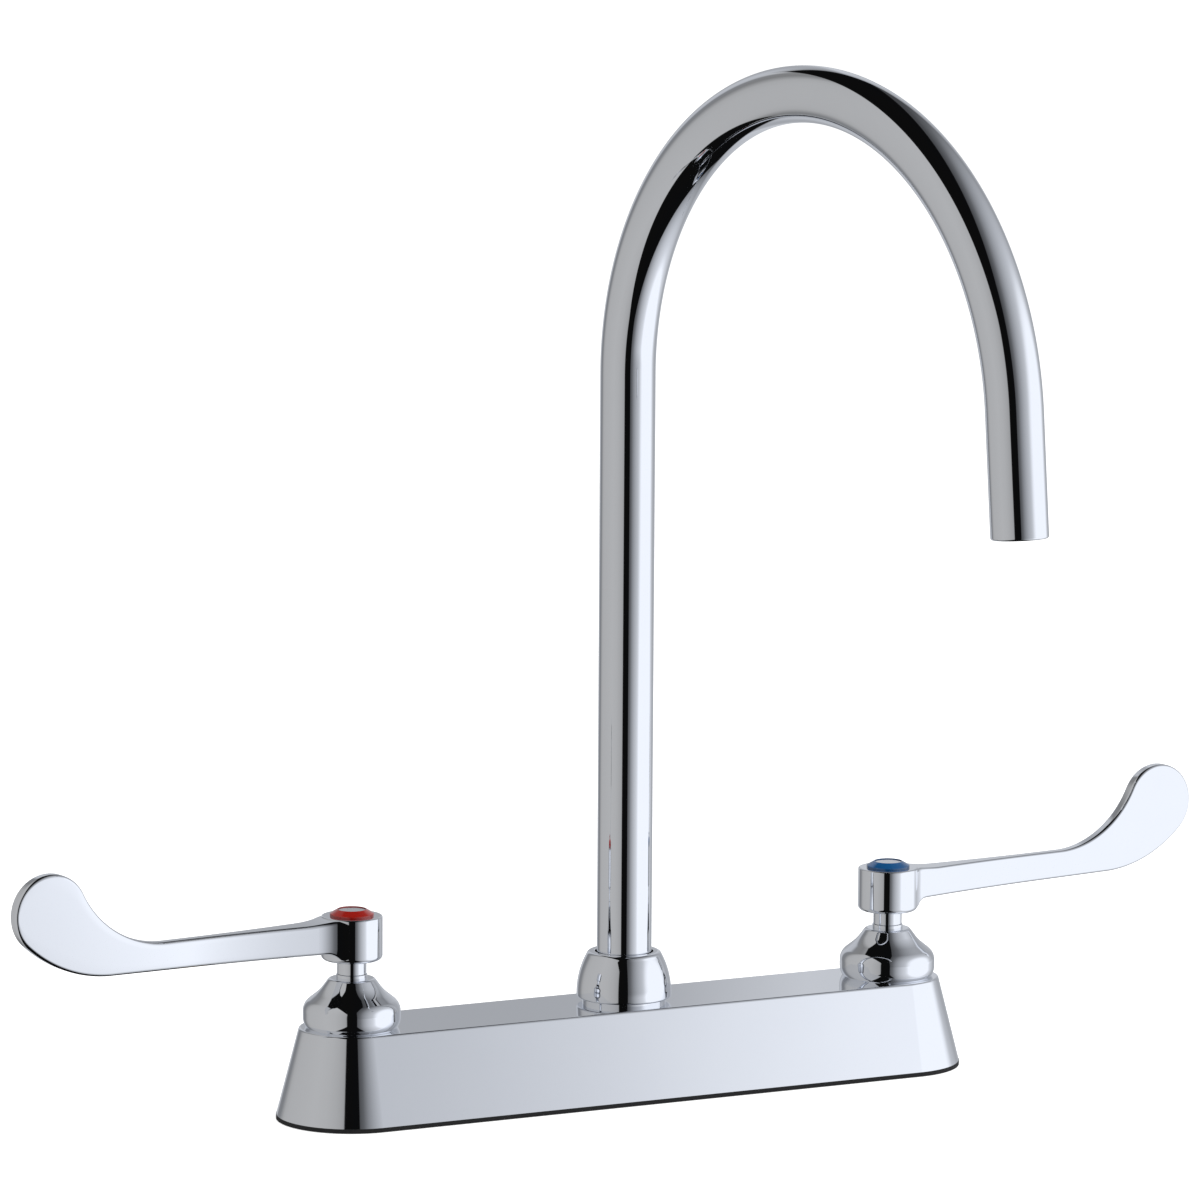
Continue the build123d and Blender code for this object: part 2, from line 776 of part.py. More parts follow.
write("deck_cover", make_deck_cover())
write("base_gasket", make_base_gasket())
write("waterway", make_waterway())
write("spout_seat_ring", make_seat_ring())
write("spout_collar", make_collar())
write("spout_glide_washer", make_glide_washer())

swing = Rot(0, 0, spout_swing_angle - 90)
write("spout_tube", swing * make_spout_tube())
write("spout_adapter", swing * make_spout_adapter())
write("spout_seals", swing * make_spout_seals())
write("flow_regulator", swing * make_flow_regulator())

for valve, side, facing in (("hot", -1, 180), ("cold", 1, 0)):
    place = Pos(side * valve_offset, 0)
    lever_angle = facing + handle_swing_angle
    lever = place * Rot(0, 0, lever_angle)
    write(f"{valve}_shank", place * make_shank())
    write(f"{valve}_washer", place * make_washer())
    write(f"{valve}_locknut", place * make_locknut())
    write(f"{valve}_bonnet", place * make_bonnet())
    write(f"{valve}_stem_bush", place * make_stem_bush())
    write(f"{valve}_cartridge_body", place * make_cartridge_body())
    write(f"{valve}_cartridge_seal", place * make_cartridge_seal())
    write(f"{valve}_seat_seal", place * make_seat_seal())
    write(f"{valve}_fixed_disc", place * make_fixed_disc())
    write(f"{valve}_moving_disc", lever * make_moving_disc(lever_angle))
    write(f"{valve}_stem", lever * make_stem(lever_angle, -side * lever_travel_angle))
    write(f"{valve}_stem_seals", place * make_stem_seals())
    write(f"{valve}_handle", lever * make_handle())
    write(f"{valve}_handle_screw", lever * make_handle_screw())
    write(f"{valve}_index_ring", lever * make_index_ring())
    write(f"{valve}_index_cap", lever * make_index_cap())
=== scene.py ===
import json
from math import atan2, ceil, cos, pi, radians, sin, sqrt, tan

import bmesh
import bpy
from mathutils import Matrix, Vector
from mathutils.geometry import tessellate_polygon


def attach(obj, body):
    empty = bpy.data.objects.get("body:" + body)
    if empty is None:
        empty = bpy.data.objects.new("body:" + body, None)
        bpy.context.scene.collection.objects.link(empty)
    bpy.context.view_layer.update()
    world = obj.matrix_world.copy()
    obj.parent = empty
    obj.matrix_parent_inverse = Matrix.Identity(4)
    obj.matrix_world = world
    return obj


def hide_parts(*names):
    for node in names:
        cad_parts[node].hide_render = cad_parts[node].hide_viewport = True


# A deck-mount gooseneck faucet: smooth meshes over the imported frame.
# Outlines are in millimetres in the frame's axes, and meshes are scaled to metres when they are made.

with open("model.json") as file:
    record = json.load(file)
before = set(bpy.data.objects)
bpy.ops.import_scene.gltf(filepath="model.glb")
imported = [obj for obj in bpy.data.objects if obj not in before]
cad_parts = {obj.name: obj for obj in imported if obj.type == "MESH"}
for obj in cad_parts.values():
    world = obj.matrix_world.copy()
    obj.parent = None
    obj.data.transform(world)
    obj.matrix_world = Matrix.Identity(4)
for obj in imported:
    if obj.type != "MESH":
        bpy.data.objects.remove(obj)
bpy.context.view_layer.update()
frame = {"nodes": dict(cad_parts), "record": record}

MM = 0.001

# Layout
valve_offset = 101.6
spout_swing = radians(10.1)
handle_swing = radians(6.4)

# Gasket and deck cover
gasket_thickness = 1.5
gasket_overhang = 0.1
gasket_hole_radius = 10.98
cover_top = 30.9
cover_height = cover_top - gasket_thickness
cover_end_radius = 17.65
cover_flare = 7.5
cover_wall = 2.5
cover_edge_round = 1.0
cover_hole_radius = 13.3
cover_boss_radius = 14.7
cover_boss_depth = 2.4

# Bonnet
bonnet_top = 47.6
bonnet_crown_radius = 7.6
bonnet_crown_round = 1.5
bonnet_steep = radians(54.0)
bonnet_waist_radius = 10.65
bonnet_waist_round = 15.0
bonnet_slope = radians(38.7)
bonnet_shoulder_round = 5.0
bonnet_radius = 16.35
bonnet_foot_rise = 3.5
bonnet_foot_radius = 15.2
nut_bore_radius = 13.05
clamp_height = 39.5
bonnet_cavity_radius = 7.2
bonnet_cavity_top = 45.3
bush_hole_radius = 4.9
bush_radius = 5.2
bush_spigot_radius = 4.85
bush_top = 49.0
bush_bore_radius = 4.05

# Stem and handle
stem_collar_radius = 4.9
stem_collar_foot = 49.1
hub_radius = 10.3
hub_bottom = 53.8
hub_top = 68.7
hub_foot_round = 1.7
hub_top_round = 0.6
socket_radius = 4.0
socket_top = 62.3
screw_hole_radius = 2.1
pocket_radius = 6.3
pocket_floor = 65.0
arm_bottom_rise = 3.5
arm_bottom_climb = 0.9
arm_top_drop = 1.2
neck_top_drop = 0.3
neck_reach = 20.0
neck_flare_radius = 6.0
neck_fillet_radius = 19.0
flare_set_in = 2.3
neck_thickness = 8.5
blade_thickness = 4.4
blade_starts = 64.0
paddle_radius = 13.4
paddle_reach = 114.9
paddle_rise = 26.9
sweep_radius = 47.3
elbow_radius = 34.3
blade_edge_round = 1.1

# Index button
button_radius = 7.4
button_rim = 0.7
button_rise = 2.15
button_lip = 0.3
button_spigot_radius = 6.2
button_spigot_bore_radius = 5.2
button_spigot_end = 67.5
cap_radius = 4.5
cap_gap = 0.1
cap_ledge = 1.1
cap_recess = 0.15
cap_thickness = 0.8
cap_dome = 0.15
cap_seat = hub_top + button_rise - cap_recess - cap_thickness

# Spout and collar
bend_radius = 101.1
spring_height = 245.0
bend_shortfall = radians(5.0)
outlet_drop = 40.0
spout_radius = 9.3
spout_bore_radius = 8.1
tube_foot = 42.8
outlet_edge_round = 0.8
socket_bore_radius = 8.3
socket_depth = 10.0
regulator_length = 9.0
regulator_gap = 0.05
regulator_hole_radius = 1.6
regulator_hole_circle = 4.9
regulator_hole_count = 6
seat_ring_radius = 14.2
collar_bottom = 32.4
collar_top = 48.2
collar_radius = 16.1
collar_foot_round = 0.8
collar_straight = 1.3
collar_neck_radius = 12.8
collar_top_round = 1.2
collar_top_width = 1.6
collar_hole_radius = 9.85
collar_shoulder = 43.0

# Shanks and their fixings
shank_top = 9.4
shank_bottom = -50.0
shank_radius = 10.48
shank_bore_radius = 6.5
coupling_top = -35.2
runout_top = -34.0
runout_radius = 9.58
thread_pitch = 25.4 / 14
thread_depth = 0.85
thread_top = 0.2
core_clearance = 0.2
runout_inset = 0.3
counter_bottom = -12.0
washer_thickness = 1.5
washer_radius = 18.0
washer_hole_radius = 10.9
locknut_height = 6.0
locknut_apothem = 14.3
locknut_crown = 1.2
locknut_bore_radius = 10.53

# Camera, as fitted to the photograph, aimed by shifts in its own right and up directions
camera_azimuth = radians(-26.740)
camera_elevation = radians(8.881)
camera_roll = radians(0.353)
camera_distance = 2680.091
camera_right = -7.869
camera_up = 166.136
focal_pixels = 7895.034
image_pixels = 1200
sensor_width = 36.0

# How finely round things are drawn
turn_steps = 128
hole_steps = 64
small_hole_steps = 40
thread_steps = 96


class Skin:
    """The points and faces of one piece, gathered loop by loop."""

    def __init__(self):
        self.points = []
        self.faces = []

    def loop(self, points):
        start = len(self.points)
        self.points.extend(Vector(point) for point in points)
        return list(range(start, len(self.points)))

    def band(self, one, other):
        for here, after in zip(range(len(one)), [*range(1, len(one)), 0]):
            self.faces.append((one[here], one[after], other[after], other[here]))

    def tube(self, loops):
        for one, other in zip(loops, loops[1:]):
            self.band(one, other)

    def fill(self, *loops):
        outlines = [[self.points[index] for index in loop] for loop in loops]
        flat = [index for loop in loops for index in loop]
        for triangle in tessellate_polygon(outlines):
            self.faces.append(tuple(flat[corner] for corner in triangle))

    def lathe(self, outline, steps=turn_steps):
        """Turn a closed outline of (radius, height) about the upright axis."""
        loops = []
        for radius, height in outline:
            loops.append(self.loop(circle(radius, height, steps)))
        self.tube(loops)
        self.band(loops[-1], loops[0])


def circle(radius, height, steps=turn_steps, centre=(0, 0)):
    points = []
    for step in range(steps):
        angle = 2 * pi * step / steps
        points.append((centre[0] + radius * cos(angle), centre[1] + radius * sin(angle), height))
    return points


def rounded(*corners):
    """A closed outline through corners given as (x, y) or (x, y, round)."""
    widest_step = radians(5)
    points = []
    for index, corner in enumerate(corners):
        here = Vector(corner[:2])
        if len(corner) < 3:
            points.append(here)
            continue
        back = (Vector(corners[index - 1][:2]) - here).normalized()
        ahead = (Vector(corners[(index + 1) % len(corners)][:2]) - here).normalized()
        half = back.angle(ahead) / 2
        start = here + back * (corner[2] / tan(half))
        end = here + ahead * (corner[2] / tan(half))
        points.extend(tangent_arc(start, -back, end, max(2, ceil((pi - 2 * half) / widest_step))))
    return points


def tangent_arc(start, tangent, end, steps):
    """Points of the arc that leaves start along a tangent and reaches end."""
    start = Vector(start)
    chord = Vector(end) - start
    along = Vector(tangent).normalized()
    normal = Vector((-along.y, along.x))
    lean = atan2(chord.dot(normal), chord.dot(along))
    radius = chord.length / (2 * sin(lean))
    centre = start + normal * radius
    points = []
    for step in range(steps + 1):
        points.append(centre - Matrix.Rotation(2 * lean * step / steps, 2) @ normal * radius)
    return points


def add_piece(name, skin, place, body, slot, *nodes):
    """Turn a skin into a smooth mesh in metres that rides on its body and stands for its CAD nodes."""
    weld_distance = 1e-7
    sharp_angle = radians(32)
    mesh = bpy.data.meshes.new(name)
    mesh.from_pydata([tuple(point * MM) for point in skin.points], [], skin.faces)
    mesh.transform(place)
    work = bmesh.new()
    work.from_mesh(mesh)
    bmesh.ops.remove_doubles(work, verts=work.verts, dist=weld_distance)
    bmesh.ops.dissolve_degenerate(work, edges=work.edges, dist=weld_distance)
    bmesh.ops.recalc_face_normals(work, faces=work.faces)
    work.to_mesh(mesh)
    work.free()
    mesh.shade_smooth()
    mesh.set_sharp_from_angle(angle=sharp_angle)
    mesh.materials.append(finishes[slot])
    piece = bpy.data.objects.new(name, mesh)
    bpy.context.scene.collection.objects.link(piece)
    smoothing = piece.modifiers.new("even_shading", "WEIGHTED_NORMAL")
    smoothing.keep_sharp = True
    smoothing.weight = 100
    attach(piece, body)
    if nodes:
        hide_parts(*nodes)


def new_material(name, colour, metallic, roughness):
    """A named node material, with its shader and its links ready for more nodes."""
    material = bpy.data.materials.new(name)
    material.use_nodes = True
    shader = material.node_tree.nodes["Principled BSDF"]
    shader.inputs["Base Color"].default_value = (*colour, 1)
    shader.inputs["Metallic"].default_value = metallic
    shader.inputs["Roughness"].default_value = roughness
    return material, material.node_tree.nodes, material.node_tree.links, shader


def noise(nodes, links, scale, detail, stretch=(1, 1, 1)):
    """Noise over the object's own coordinates, stretched along its axes."""
    where = nodes.new("ShaderNodeTexCoord")
    mapping = nodes.new("ShaderNodeMapping")
    mapping.inputs["Scale"].default_value = stretch
    links.new(where.outputs["Object"], mapping.inputs["Vector"])
    texture = nodes.new("ShaderNodeTexNoise")
    texture.inputs["Scale"].default_value = scale
    texture.inputs["Detail"].default_value = detail
    links.new(mapping.outputs["Vector"], texture.inputs["Vector"])
    return texture.outputs["Fac"]


def spread(nodes, links, value, low, high):
    """Stretch a noise value, which mostly lies around its middle, between two ends."""
    ends = nodes.new("ShaderNodeMapRange")
    ends.inputs["From Min"].default_value = 0.3
    ends.inputs["From Max"].default_value = 0.7
    ends.inputs["To Min"].default_value = low
    ends.inputs["To Max"].default_value = high
    links.new(value, ends.inputs["Value"])
    return ends.outputs["Result"]


def roughen(nodes, links, shader, value, distance, strength):
    """Drive the shader's normal from a height."""
    bump = nodes.new("ShaderNodeBump")
    bump.inputs["Distance"].default_value = distance
    bump.inputs["Strength"].default_value = strength
    links.new(value, bump.inputs["Height"])
    links.new(bump.outputs["Normal"], shader.inputs["Normal"])


def mix_colours(nodes, links, value, first, second):
    """Mix two colours by a value, on the sockets that a Mix node keeps for colours."""
    factor_socket, first_socket, second_socket, result_socket = 0, 6, 7, 2
    mix = nodes.new("ShaderNodeMix")
    mix.data_type = "RGBA"
    mix.inputs[first_socket].default_value = (*first, 1)
    mix.inputs[second_socket].default_value = (*second, 1)
    links.new(value, mix.inputs[factor_socket])
    return mix.outputs[result_socket]


def make_finish(name, colour, metallic, roughness, rough, tones, bumps, coat=0.0, specular=0.5):
    """A finish whose roughness, tones and bumps each follow a noise.

    Each of the three is its noise, as (scale, detail) or (scale, detail, stretch), and its two ends:
    the lowest and highest roughness, the darkest and lightest tone, the bumps' height in metres and strength.
    """
    material, nodes, links, shader = new_material(name, colour, metallic, roughness)
    textures = {}

    def texture(pattern):
        if pattern not in textures:
            textures[pattern] = noise(nodes, links, *pattern)
        return textures[pattern]

    pattern, lowest, highest = rough
    links.new(spread(nodes, links, texture(pattern), lowest, highest), shader.inputs["Roughness"])
    if tones:
        pattern, dark, light = tones
        links.new(mix_colours(nodes, links, texture(pattern), dark, light), shader.inputs["Base Color"])
    pattern, height, strength = bumps
    roughen(nodes, links, shader, texture(pattern), height, strength)
    shader.inputs["Specular IOR Level"].default_value = specular
    if coat:
        shader.inputs["Coat Weight"].default_value = coat
        shader.inputs["Coat Roughness"].default_value = 0.05
    return material


def make_plastic(name, dark, light, lowest, highest, coat=0.0):
    cloud = (150.0, 3.0)
    grain = (700.0, 2.0)
    return make_finish(name, colour=light, metallic=0.0, roughness=lowest, rough=(cloud, lowest, highest),
                       tones=(cloud, dark, light), bumps=(grain, 0.000004, 0.5), coat=coat)


finishes = {
    "chrome": make_finish(
        "chrome_plate", colour=(0.885, 0.905, 0.94), metallic=1.0, roughness=0.04,
        rough=((55.0, 3.0), 0.025, 0.05),
        tones=((55.0, 3.0), (0.875, 0.893, 0.933), (0.895, 0.912, 0.945)),
        bumps=((320.0, 2.0), 0.000002, 0.5)),
    "brass": make_finish(
        "brass", colour=(0.72, 0.52, 0.22), metallic=1.0, roughness=0.3,
        rough=((60.0, 3.0), 0.22, 0.42),
        tones=((60.0, 3.0), (0.62, 0.43, 0.17), (0.78, 0.58, 0.27)),
        bumps=((400.0, 4.0), 0.00002, 0.5)),
    "steel": make_finish(
        "zinc_steel", colour=(0.62, 0.64, 0.66), metallic=1.0, roughness=0.32,
        rough=((260.0, 4.0), 0.24, 0.42),
        tones=((70.0, 3.0), (0.55, 0.57, 0.6), (0.7, 0.7, 0.68)),
        bumps=((260.0, 4.0), 0.00001, 0.5)),
    "silver": make_finish(
        "satin_silver", colour=(0.82, 0.83, 0.84), metallic=1.0, roughness=0.2,
        rough=((500.0, 3.0, (1, 1, 0.2)), 0.14, 0.26),
        tones=None,
        bumps=((500.0, 3.0, (1, 1, 0.2)), 0.000004, 0.5)),
    "black_rubber": make_finish(
        "black_rubber", colour=(0.012, 0.012, 0.013), metallic=0.0, roughness=0.6,
        rough=((900.0, 4.0), 0.5, 0.75),
        tones=((900.0, 4.0), (0.008, 0.008, 0.009), (0.02, 0.02, 0.021)),
        bumps=((900.0, 4.0), 0.00003, 0.6), specular=0.2),
    "white_plastic": make_plastic("white_acetal", (0.78, 0.78, 0.76), (0.84, 0.84, 0.82), 0.4, 0.55),
    "ceramic": make_plastic("white_alumina", (0.8, 0.8, 0.78), (0.87, 0.87, 0.85), 0.15, 0.28),
    "red_plastic": make_plastic("red_index", (0.33, 0.01, 0.006), (0.42, 0.016, 0.009), 0.12, 0.2, coat=0.6),
    "blue_plastic": make_plastic("blue_index", (0.006, 0.075, 0.22), (0.01, 0.1, 0.28), 0.12, 0.2, coat=0.6),
}


def stadium(grow, height):
    """The plan of cover or gasket at one height: half-round ends round the two valve axes."""
    end_steps = 56
    radius = cover_end_radius + grow
    points = []
    for side in (1, -1):
        for step in range(end_steps + 1):
            angle = pi * step / end_steps - side * pi / 2
            points.append((side * valve_offset + radius * cos(angle), radius * sin(angle), height))
    return points


def make_deck_cover():
    skin = Skin()
    wall_rows = 6
    rows = [(cover_flare * (1 - row / wall_rows), gasket_thickness + cover_height * row / wall_rows)
            for row in range(wall_rows)]
    on_flat_top = (-5, cover_top)
    corner = rounded((cover_flare, gasket_thickness), (0, cover_top, cover_edge_round), on_flat_top)
    rows += [tuple(point) for point in corner[1:-1]]
    outer = [skin.loop(stadium(grow, height)) for grow, height in rows]
    skin.tube(outer)
    ceiling = cover_top - cover_wall
    ceiling_grow = cover_flare * cover_wall / cover_height - cover_wall
    inner = [skin.loop(stadium(cover_flare - cover_wall, gasket_thickness)),
             skin.loop(stadium(ceiling_grow, ceiling))]
    skin.tube(inner)
    skin.band(outer[0], inner[0])
    top_holes = []
    ceiling_holes = []
    for offset in (-valve_offset, 0, valve_offset):
        profile = [(cover_hole_radius, cover_top), (cover_hole_radius, ceiling - cover_boss_depth),
                   (cover_boss_radius, ceiling - cover_boss_depth), (cover_boss_radius, ceiling)]
        sleeve = [skin.loop(circle(radius, height, hole_steps, (offset, 0))) for radius, height in profile]
        skin.tube(sleeve)
        top_holes.append(sleeve[0])
        ceiling_holes.append(sleeve[-1])
    skin.fill(outer[-1], *top_holes)
    skin.fill(inner[-1], *ceiling_holes)
    return skin


def make_base_gasket():
    skin = Skin()
    grow = cover_flare + gasket_overhang
    low = skin.loop(stadium(grow, 0))
    high = skin.loop(stadium(grow, gasket_thickness))
    skin.band(low, high)
    low_holes = []
    high_holes = []
    for offset in (-valve_offset, valve_offset):
        low_holes.append(skin.loop(circle(gasket_hole_radius, 0, hole_steps, (offset, 0))))
        high_holes.append(skin.loop(circle(gasket_hole_radius, gasket_thickness, hole_steps, (offset, 0))))
        skin.band(low_holes[-1], high_holes[-1])
    skin.fill(low, *low_holes)
    skin.fill(high, *high_holes)
    return skin


def make_bonnet():
    foot_steps = 8
    waist_height = bonnet_top - (bonnet_waist_radius - bonnet_crown_radius) * tan(bonnet_steep)
    shoulder_height = waist_height - (bonnet_radius - bonnet_waist_radius) * tan(bonnet_slope)
    foot_end = (bonnet_radius, cover_top + bonnet_foot_rise)
    outline = rounded(
        (bush_hole_radius, bonnet_top), (bonnet_crown_radius, bonnet_top, bonnet_crown_round),
        (bonnet_waist_radius, waist_height, bonnet_waist_round),
        (bonnet_radius, shoulder_height, bonnet_shoulder_round), foot_end)[:-1]
    outline += tangent_arc(foot_end, (0, -1), (bonnet_foot_radius, cover_top), foot_steps)
    outline += [(nut_bore_radius, cover_top), (nut_bore_radius, clamp_height),
                (bonnet_cavity_radius, clamp_height), (bonnet_cavity_radius, bonnet_cavity_top),
                (bush_hole_radius, bonnet_cavity_top)]
    skin = Skin()
    skin.lathe(outline)
    return skin


def make_stem_bush():
    edge_round = 0.2
    skin = Skin()
    skin.lathe(rounded(
        (bush_bore_radius, bonnet_cavity_top), (bush_spigot_radius, bonnet_cavity_top),
        (bush_spigot_radius, bonnet_top), (bush_radius, bonnet_top),
        (bush_radius, bush_top, edge_round), (bush_bore_radius, bush_top)))
    return skin


def make_stem_sleeve():
    """The stem's collar between bush and hub, a skin just proud of the stem's own node."""
    proud = 0.02
    depth = 0.4
    edge_round = 0.2
    inner = stem_collar_radius - depth
    outer = stem_collar_radius + proud
    skin = Skin()
    skin.lathe(rounded((inner, stem_collar_foot), (outer, stem_collar_foot, edge_round),
                       (outer, hub_bottom), (inner, hub_bottom)))
    return skin


def blade_chains():
    """The blade's bottom and top rim lines, as points (x, z) from the hub's axis to the paddle's tip."""
    top = hub_top - arm_top_drop
    neck_top = hub_top - neck_top_drop
    bottom_at_hub = hub_bottom + arm_bottom_rise
    bottom = bottom_at_hub + arm_bottom_climb
    paddle = Vector((paddle_reach, hub_bottom + paddle_rise))
    sweep_gap = sweep_radius - paddle_radius
    sweep_height = bottom + sweep_radius
    sweep = Vector((paddle.x - sqrt(sweep_gap**2 - (paddle.y - sweep_height)**2), sweep_height))
    elbow_gap = elbow_radius + paddle_radius
    elbow_height = top + elbow_radius
    elbow = Vector((paddle.x - sqrt(elbow_gap**2 - (paddle.y - elbow_height)**2), elbow_height))
    sweep_meets = sweep + (paddle - sweep) * (sweep_radius / sweep_gap)
    elbow_meets = elbow + (paddle - elbow) * (elbow_radius / elbow_gap)
    tip = paddle + Vector((paddle_radius, 0))
    arc_steps = 120
    flare_rise = arm_bottom_rise - hub_foot_round / 2
    flare_run = sqrt(neck_flare_radius**2 - (neck_flare_radius - flare_rise)**2)
    flare_low = Vector((hub_radius - flare_set_in, bottom_at_hub - flare_rise))
    flare_end = Vector((flare_low.x + flare_run, bottom_at_hub))
    sweep_start = Vector((sweep.x, bottom))
    bottom_line = [Vector((0, flare_low.y))]
    bottom_line += list(reversed(tangent_arc(flare_end, (-1, 0), flare_low, arc_steps)))
    bottom_line += tangent_arc(sweep_start, (1, 0), sweep_meets, arc_steps)
    at_sweep = (sweep_meets - sweep).normalized()
    bottom_line += tangent_arc(sweep_meets, (-at_sweep.y, at_sweep.x), tip, arc_steps)[1:]
    top_line = [Vector((0, neck_top))]
    top_line += list(reversed(tangent_arc((neck_reach, top), (-1, 0), (hub_radius, neck_top), arc_steps)))
    at_elbow = (elbow_meets.y - elbow.y, elbow.x - elbow_meets.x)
    top_line += list(reversed(tangent_arc(elbow_meets, at_elbow, (elbow.x, top), arc_steps)))
    top_line += list(reversed(tangent_arc(tip, (0, 1), elbow_meets, arc_steps)))[1:]
    return bottom_line, top_line


def height_at(line, x):
    """Height of a rim line where it passes over x."""
    for one, other in zip(line, line[1:]):
        if one.x <= x <= other.x and other.x > one.x:
            share = (x - one.x) / (other.x - one.x)
            return one.y + (other.y - one.y) * share
    raise ValueError(x)


def beyond(line, x, steps):
    """Even steps along a rim line from x to its end, each as (point, direction)."""
    least_step = 1e-6
    rounding = 1e-9
    cut = next(index for index, point in enumerate(line) if point.x > x + least_step)
    rest = [Vector((x, height_at(line, x)))] + line[cut:]
    lengths = [0.0]
    for one, other in zip(rest, rest[1:]):
        lengths.append(lengths[-1] + (other - one).length)
    found = []
    for step in range(steps + 1):
        target = lengths[-1] * step / steps
        index = max(i for i in range(len(rest) - 1) if lengths[i] <= target + rounding)
        run = rest[index + 1] - rest[index]
        found.append((rest[index] + run * ((target - lengths[index]) / run.length), run.normalized()))
    return found


def plan_stations():
    """The blade's plan from the hub to where it is slim, as (x, half width, outward x, outward y)."""
    half = blade_thickness / 2
    taper_radius = (blade_starts - neck_reach)**2 / (neck_thickness - blade_thickness)
    taper_centre = Vector((blade_starts, half + taper_radius))
    fillet_from_hub = hub_radius + neck_fillet_radius
    fillet_from_taper = taper_radius - neck_fillet_radius
    between = taper_centre.length
    along = (between**2 + fillet_from_hub**2 - fillet_from_taper**2) / (2 * between)
    across = sqrt(fillet_from_hub**2 - along**2)
    unit = taper_centre.normalized()
    fillet_centre = unit * along + Vector((unit.y, -unit.x)) * across
    on_hub = fillet_centre * (hub_radius / fillet_from_hub)
    on_taper = taper_centre + (fillet_centre - taper_centre) * (taper_radius / fillet_from_taper)
    inside_share = 0.9
    inside = on_hub * inside_share
    stations = [(inside.x, inside.y, on_hub.x / hub_radius, on_hub.y / hub_radius)]
    from_hub = atan2(on_hub.y - fillet_centre.y, on_hub.x - fillet_centre.x)
    from_taper = atan2(on_taper.y - fillet_centre.y, on_taper.x - fillet_centre.x)
    fillet_steps = 12
    for step in range(fillet_steps + 1):
        angle = from_hub + (from_taper - from_hub) * step / fillet_steps
        point = fillet_centre + Vector((cos(angle), sin(angle))) * neck_fillet_radius
        stations.append((point.x, point.y, -cos(angle), -sin(angle)))
    near_length = 4.5
    near_end = on_taper.x + near_length
    near_steps = 14
    far_steps = 26
    for low, high, steps in ((on_taper.x, near_end, near_steps), (near_end, blade_starts, far_steps)):
        for step in range(1, steps + 1):
            x = low + (high - low) * step / steps
            y = taper_centre.y - sqrt(taper_radius**2 - (taper_centre.x - x)**2)
            outward = (taper_centre - Vector((x, y))).normalized()
            stations.append((x, y, outward.x, outward.y))
    return stations


def rim_corner(rim, normal, half, out):
    """The rounded edge from a rim point to the blade's face, as (point, half width, outward, draw)."""
    edge_steps = 6
    corner = []
    for step in range(edge_steps + 1):
        angle = pi / 2 * step / edge_steps
        drop = blade_edge_round * (1 - cos(angle))
        draw = blade_edge_round * (1 - sin(angle))
        corner.append((rim - normal * drop, half, out, draw))
    return corner


def blade_stations():
    """The blade's sections, as (low, low run, high, high run, half width, outward)."""
    bottom_line, top_line = blade_chains()
    level = Vector((1, 0))
    stations = []
    for x, half, out_x, out_y in plan_stations():
        low = Vector((x, height_at(bottom_line, x)))
        high = Vector((x, height_at(top_line, x)))
        stations.append((low, level, high, level, half, Vector((out_x, out_y))))
    paddle_steps = 110
    half = blade_thickness / 2
    flat_out = Vector((0, 1))
    pairs = zip(beyond(bottom_line, blade_starts, paddle_steps), beyond(top_line, blade_starts, paddle_steps))
    for (low, low_run), (high, high_run) in list(pairs)[1:]:
        stations.append((low, low_run, high, high_run, half, flat_out))
    # At the tip the two rim lines meet, and both edges face straight out.
    stations[-1] = (low, Vector((0, 1)), high, Vector((0, -1)), half, flat_out)
    return stations


def make_handle():
    """The hub on its lathe, and the blade as a loft through its sections."""
    skin = Skin()
    skin.lathe(rounded(
        (socket_radius, hub_bottom), (hub_radius, hub_bottom, hub_foot_round),
        (hub_radius, hub_top, hub_top_round), (pocket_radius, hub_top), (pocket_radius, pocket_floor),
        (screw_hole_radius, pocket_floor), (screw_hole_radius, socket_top), (socket_radius, socket_top)))
    face_steps = 6
    loops = []
    for low, low_run, high, high_run, half, out in blade_stations():
        low_normal = Vector((low_run.y, -low_run.x))
        high_normal = Vector((-high_run.y, high_run.x))
        high_inset = high - high_normal * blade_edge_round
        low_inset = low - low_normal * blade_edge_round
        side = rim_corner(high, high_normal, half, out)
        for step in range(1, face_steps):
            side.append((high_inset.lerp(low_inset, step / face_steps), half, out, 0))
        side += reversed(rim_corner(low, low_normal, half, out))
        points = []
        for mirror in (1, -1):
            for point, wide, outward, draw in side[::mirror]:
                points.append((point.x - outward.x * draw, mirror * (wide - outward.y * draw), point.y))
        loops.append(skin.loop(points))
    skin.tube(loops)
    skin.faces.append(tuple(loops[0]))
    return skin


def make_index_ring():
    rim_round = 0.3
    lip_round = 0.25
    recess_round = 0.1
    recess = cap_radius + cap_gap
    bore = cap_radius - cap_ledge
    top = hub_top + button_rise
    rim_top = hub_top + button_rim
    skin = Skin()
    skin.lathe(rounded(
        (button_spigot_radius, hub_top), (button_radius, hub_top), (button_radius, rim_top, rim_round),
        (recess + button_lip, top, lip_round), (recess, top, recess_round), (recess, cap_seat),
        (bore, cap_seat), (bore, rim_top), (button_spigot_bore_radius, hub_top),
        (button_spigot_bore_radius, button_spigot_end), (button_spigot_radius, button_spigot_end)))
    return skin


def make_index_cap():
    dome_steps = 10
    top = cap_seat + cap_thickness
    dome = tangent_arc((0, top), (1, 0), (cap_radius, top - cap_dome), dome_steps)
    skin = Skin()
    skin.lathe([(0, cap_seat), (cap_radius, cap_seat), *reversed(dome)])
    return skin


def make_seat_ring():
    skin = Skin()
    skin.lathe([(nut_bore_radius, cover_top), (seat_ring_radius, cover_top),
                (seat_ring_radius, collar_bottom), (nut_bore_radius, collar_bottom)])
    return skin


